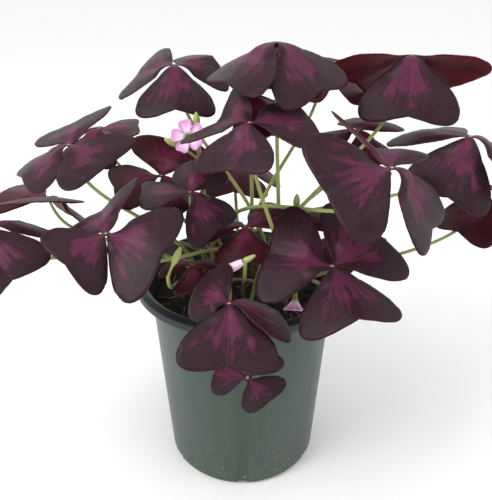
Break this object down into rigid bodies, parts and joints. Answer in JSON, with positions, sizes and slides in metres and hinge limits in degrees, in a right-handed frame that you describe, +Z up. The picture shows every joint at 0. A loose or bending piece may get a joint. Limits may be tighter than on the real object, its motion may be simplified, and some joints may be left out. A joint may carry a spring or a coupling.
{
  "type": "potted purple shamrock",
  "caption": "Purple shamrock with dark triangular leaves on bare green stalks and a few small pink flowers, growing in a round nursery pot.",
  "frame": {"origin": "the middle of the pot's flat underside", "axes": "+Z points up out of the pot, and -Y points to the side from which the picture was taken"},
  "size_m": [0.3216, 0.192, 0.2463],
  "materials": {
    "pot_plastic": "moulded grey-green plastic with a faint sheen",
    "potting_soil": "damp, near-black potting soil with pale fibres",
    "leaf_purple": "satin dark purple leaf with a lighter wedge along the rib",
    "stalk_green": "smooth yellow-green stalk",
    "petal_pink": "soft pale pink petal"
  },
  "bodies": {
    "root": {"pot": "pot_plastic", "soil": "potting_soil", "leaf_01": "leaf_purple", "leaf_02": "leaf_purple", "leaf_03": "leaf_purple", "leaf_04": "leaf_purple", "leaf_05": "leaf_purple", "leaf_06": "leaf_purple", "leaf_07": "leaf_purple", "leaf_08": "leaf_purple", "leaf_09": "leaf_purple", "leaf_10": "leaf_purple", "leaf_11": "leaf_purple", "leaf_12": "leaf_purple", "leaf_13": "leaf_purple", "leaf_14": "leaf_purple", "leaf_15": "leaf_purple", "leaf_16": "leaf_purple", "leaf_17": "leaf_purple", "leaf_18": "leaf_purple", "leaf_19": "leaf_purple", "leaf_20": "leaf_purple", "leaf_21": "leaf_purple", "leaf_22": "leaf_purple", "leaf_23": "leaf_purple", "leaf_24": "leaf_purple", "stalk_01": "stalk_green", "stalk_02": "stalk_green", "stalk_03": "stalk_green", "stalk_04": "stalk_green", "stalk_05": "stalk_green", "stalk_06": "stalk_green", "stalk_07": "stalk_green", "stalk_08": "stalk_green", "stalk_09": "stalk_green", "stalk_10": "stalk_green", "stalk_11": "stalk_green", "stalk_12": "stalk_green", "stalk_13": "stalk_green", "stalk_14": "stalk_green", "stalk_15": "stalk_green", "stalk_16": "stalk_green", "stalk_17": "stalk_green", "stalk_18": "stalk_green", "stalk_19": "stalk_green", "stalk_20": "stalk_green", "stalk_21": "stalk_green", "stalk_22": "stalk_green", "stalk_23": "stalk_green", "stalk_24": "stalk_green", "scape_1": "stalk_green", "scape_2": "stalk_green", "scape_3": "stalk_green", "scape_4": "stalk_green", "scape_5": "stalk_green", "bloom_1": "petal_pink", "bloom_2": "petal_pink", "bloom_3": "petal_pink"}
  },
  "joints": []
}
